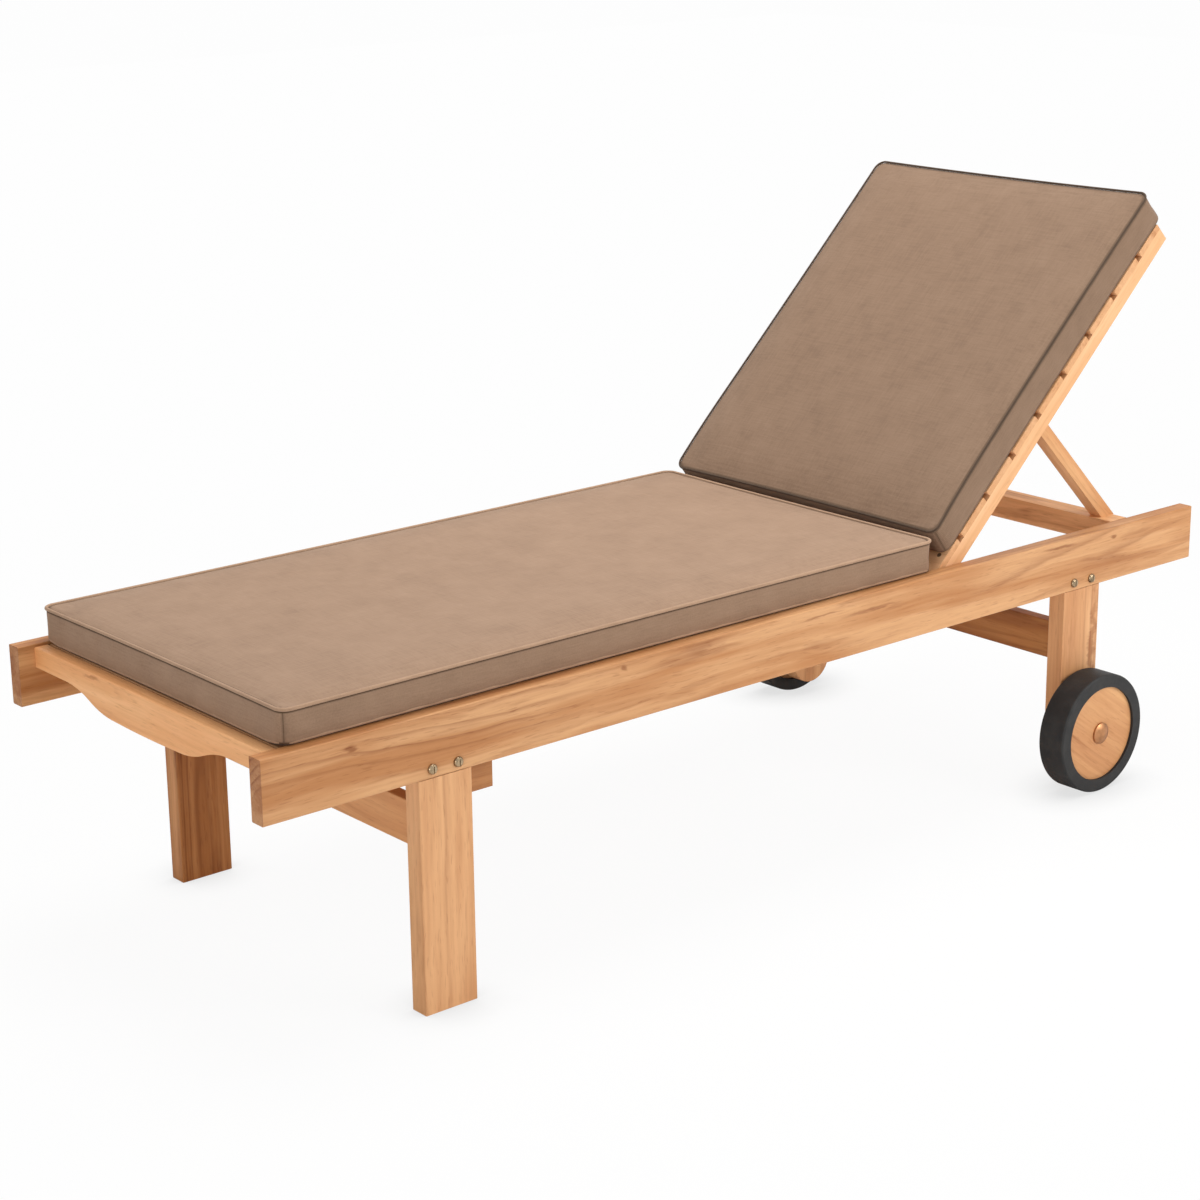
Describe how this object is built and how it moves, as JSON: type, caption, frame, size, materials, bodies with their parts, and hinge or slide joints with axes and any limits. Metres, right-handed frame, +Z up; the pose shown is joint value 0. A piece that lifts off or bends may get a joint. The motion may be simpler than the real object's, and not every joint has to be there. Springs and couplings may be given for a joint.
{
  "type": "chaise lounger",
  "caption": "Teak sun lounger: slatted seat between side rails, hinged slatted back on a swinging prop, wheels at the head end, and loose box cushions on seat and back.",
  "frame": {"origin": "on the floor, under the middle of the side rails", "axes": "+X towards the head end, +Y to the right of a person lying face up, +Z up"},
  "size_m": [2, 0.826, 1.03],
  "materials": {
    "teak_rail": "oiled, fine grain, lighter sapwood along the lower edge",
    "teak_leg": "oiled, upright grain",
    "teak_board": "oiled, fine grain",
    "teak_slat": "oiled, fine grain",
    "teak_wheel": "oiled, grain across the disc",
    "cushion_canvas": "woven canvas in mocha",
    "tyre_rubber": "matt black rubber",
    "bolt_steel": "satin",
    "hidden_steel": "plain",
    "hub_brass": "satin, copper toned"
  },
  "bodies": {
    "frame": {"axle_nuts_and_spacers": "hidden_steel", "foot_apron": "teak_board", "front_brace": "teak_board", "front_leg_block_left": "teak_board", "front_leg_block_right": "teak_board", "front_leg_left": "teak_leg", "front_leg_right": "teak_leg", "hinge_pins": "hidden_steel", "leg_bolts": "bolt_steel", "leg_nuts": "hidden_steel", "prop_rack_left": "teak_board", "prop_rack_right": "teak_board", "rear_brace": "teak_board", "rear_leg_left": "teak_leg", "rear_leg_right": "teak_leg", "seat_bearer_left": "teak_board", "seat_bearer_right": "teak_board", "seat_cushion": "cushion_canvas", "seat_slat_01": "teak_slat", "seat_slat_02": "teak_slat", "seat_slat_03": "teak_slat", "seat_slat_04": "teak_slat", "seat_slat_05": "teak_slat", "seat_slat_06": "teak_slat", "seat_slat_07": "teak_slat", "seat_slat_08": "teak_slat", "seat_slat_09": "teak_slat", "seat_slat_10": "teak_slat", "seat_slat_11": "teak_slat", "seat_slat_12": "teak_slat", "seat_slat_13": "teak_slat", "seat_slat_14": "teak_slat", "seat_slat_15": "teak_slat", "seat_slat_screws": "hidden_steel", "side_rail_left": "teak_rail", "side_rail_right": "teak_rail", "wheel_axles": "hidden_steel"},
    "backrest": {"back_cushion": "cushion_canvas", "back_slat_01": "teak_slat", "back_slat_02": "teak_slat", "back_slat_03": "teak_slat", "back_slat_04": "teak_slat", "back_slat_05": "teak_slat", "back_slat_06": "teak_slat", "back_slat_07": "teak_slat", "back_slat_08": "teak_slat", "back_slat_09": "teak_slat", "back_slat_screws": "hidden_steel", "backrest_stile_left": "teak_board", "backrest_stile_right": "teak_board", "prop_pivot_pins": "hidden_steel"},
    "prop": {"prop_arm_left": "teak_board", "prop_arm_right": "teak_board", "prop_foot_bar": "teak_board"},
    "wheel_left": {"wheel_disc_left": "teak_wheel", "tyre_left": "tyre_rubber", "hub_cap_left": "hub_brass"},
    "wheel_right": {"wheel_disc_right": "teak_wheel", "tyre_right": "tyre_rubber", "hub_cap_right": "hub_brass"}
  },
  "joints": [
    {"name": "backrest_hinge", "type": "hinge", "parent": "frame", "child": "backrest", "pos_m": [0.3675, 0, 0.4275], "axis": [0, -1, 0], "range_deg": [-44, 7]},
    {"name": "prop_hinge", "type": "hinge", "parent": "backrest", "child": "prop", "pos_m": [0.6243, 0, 0.67549], "axis": [0, -1, 0], "range_deg": [-15, 86]},
    {"name": "wheel_left_spin", "type": "hinge", "parent": "frame", "child": "wheel_left", "pos_m": [0.701, -0.382, 0.1075], "axis": [0, 1, 0], "continuous": true},
    {"name": "wheel_right_spin", "type": "hinge", "parent": "frame", "child": "wheel_right", "pos_m": [0.701, 0.382, 0.1075], "axis": [0, 1, 0], "continuous": true}
  ],
  "couplings": [
    {"joint": "prop_hinge", "follows": "backrest_hinge", "ratio": -1.93}
  ]
}
